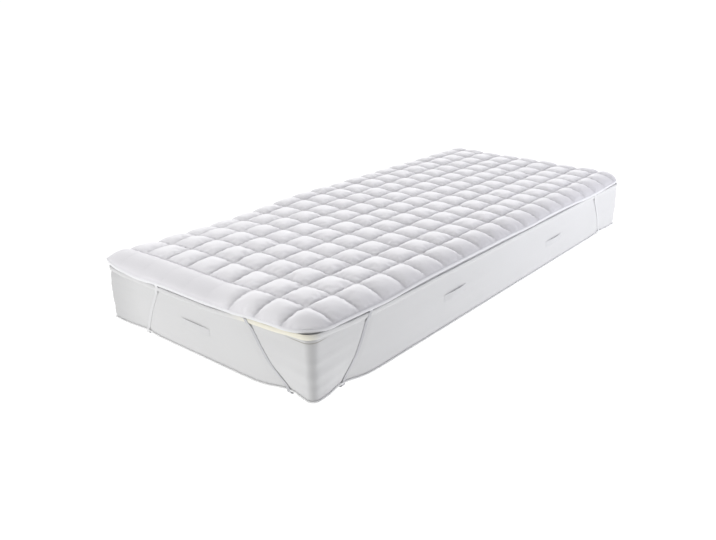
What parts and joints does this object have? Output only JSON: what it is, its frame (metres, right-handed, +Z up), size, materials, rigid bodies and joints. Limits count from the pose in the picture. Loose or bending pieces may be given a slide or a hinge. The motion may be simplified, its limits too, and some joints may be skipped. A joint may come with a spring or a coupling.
{
  "type": "mattress topper on a mattress",
  "caption": "Quilted mattress topper with a bound edge and elastic corner straps, strapped on to a plain single mattress with piping and carrying handles.",
  "frame": {"origin": "on the floor, under the middle of the mattress", "axes": "+Y along the bed towards its far short side, +X towards its right long side, +Z up"},
  "size_m": [0.9302, 2.0332, 0.2628],
  "materials": {
    "quilt_cloth": "woven, matt, quilted in squares",
    "binding_cloth": "woven, matt",
    "elastic": "ribbed elastic band",
    "border_cloth": "knitted, matt",
    "piping_cloth": "woven, matt",
    "handle_cloth": "woven tape"
  },
  "bodies": {
    "root": {"mattress": "border_cloth", "piping_upper": "piping_cloth", "piping_lower": "piping_cloth", "handle_right_front": "handle_cloth", "handle_right_back": "handle_cloth", "handle_left_front": "handle_cloth", "handle_left_back": "handle_cloth", "handle_front": "handle_cloth", "handle_back": "handle_cloth", "quilted_pad": "quilt_cloth", "edge_binding": "binding_cloth", "corner_strap_front_right": "elastic", "corner_strap_front_left": "elastic", "corner_strap_back_right": "elastic", "corner_strap_back_left": "elastic"}
  },
  "joints": []
}
